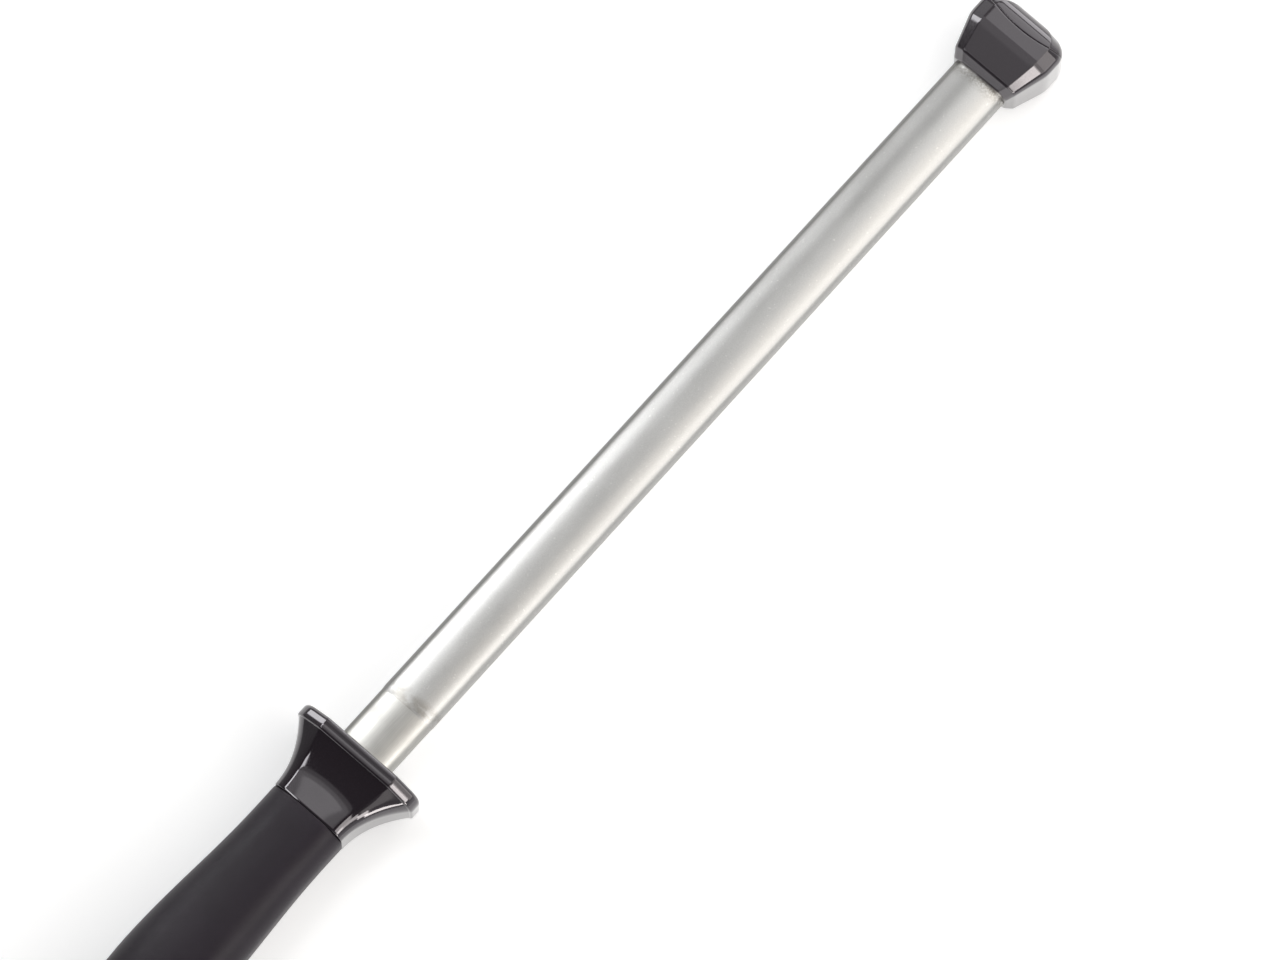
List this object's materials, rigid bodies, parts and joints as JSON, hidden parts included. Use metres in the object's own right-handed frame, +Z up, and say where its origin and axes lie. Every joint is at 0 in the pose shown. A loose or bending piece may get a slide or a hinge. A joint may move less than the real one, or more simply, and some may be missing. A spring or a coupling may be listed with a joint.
{
  "type": "knife sharpening steel",
  "caption": "Hand-held knife sharpening steel: oval diamond-coated rod, flared guard and angle-guide tip cap, soft-touch handle with a hanging ring.",
  "frame": {"origin": "on the surface that the steel lies on, under the middle of the guard's rim", "axes": "+X along the rod towards the tip, +Z up from the surface, +Y across the flat of the rod"},
  "size_m": [0.494, 0.0466, 0.025],
  "materials": {
    "rod_steel": "fine ground",
    "diamond_grit": "satin nickel plate that holds fine diamond grit",
    "tang_steel": "turned steel",
    "gloss_black": "high gloss",
    "soft_touch": "soft-touch matte",
    "core_plastic": "as moulded",
    "seal_rubber": "smooth rubber",
    "plated_steel": "bright nickel plate",
    "plug_aluminium": "turned"
  },
  "bodies": {
    "steel": {"rod_tube": "rod_steel", "diamond_coating": "diamond_grit", "tang": "tang_steel", "tang_pin": "tang_steel", "guard_plate": "gloss_black", "rod_seal": "seal_rubber", "guard_body": "gloss_black", "handle_core_top": "core_plastic", "handle_core_bottom": "core_plastic", "grip_sleeve": "soft_touch", "butt_cap": "gloss_black", "butt_washer": "plated_steel", "lock_washer": "plated_steel", "eye_nut": "plated_steel", "tip_plug": "plug_aluminium", "tip_pin": "tang_steel", "tip_cap": "gloss_black", "tip_screw": "plated_steel", "tip_foot": "gloss_black"},
    "ring": {"hang_ring": "plated_steel"}
  },
  "joints": [
    {"name": "ring_swing", "type": "hinge", "parent": "steel", "child": "ring", "pos_m": [-0.1599, 0, 0.0125], "axis": [0, 1, 0], "range_deg": [-112, 167]}
  ]
}
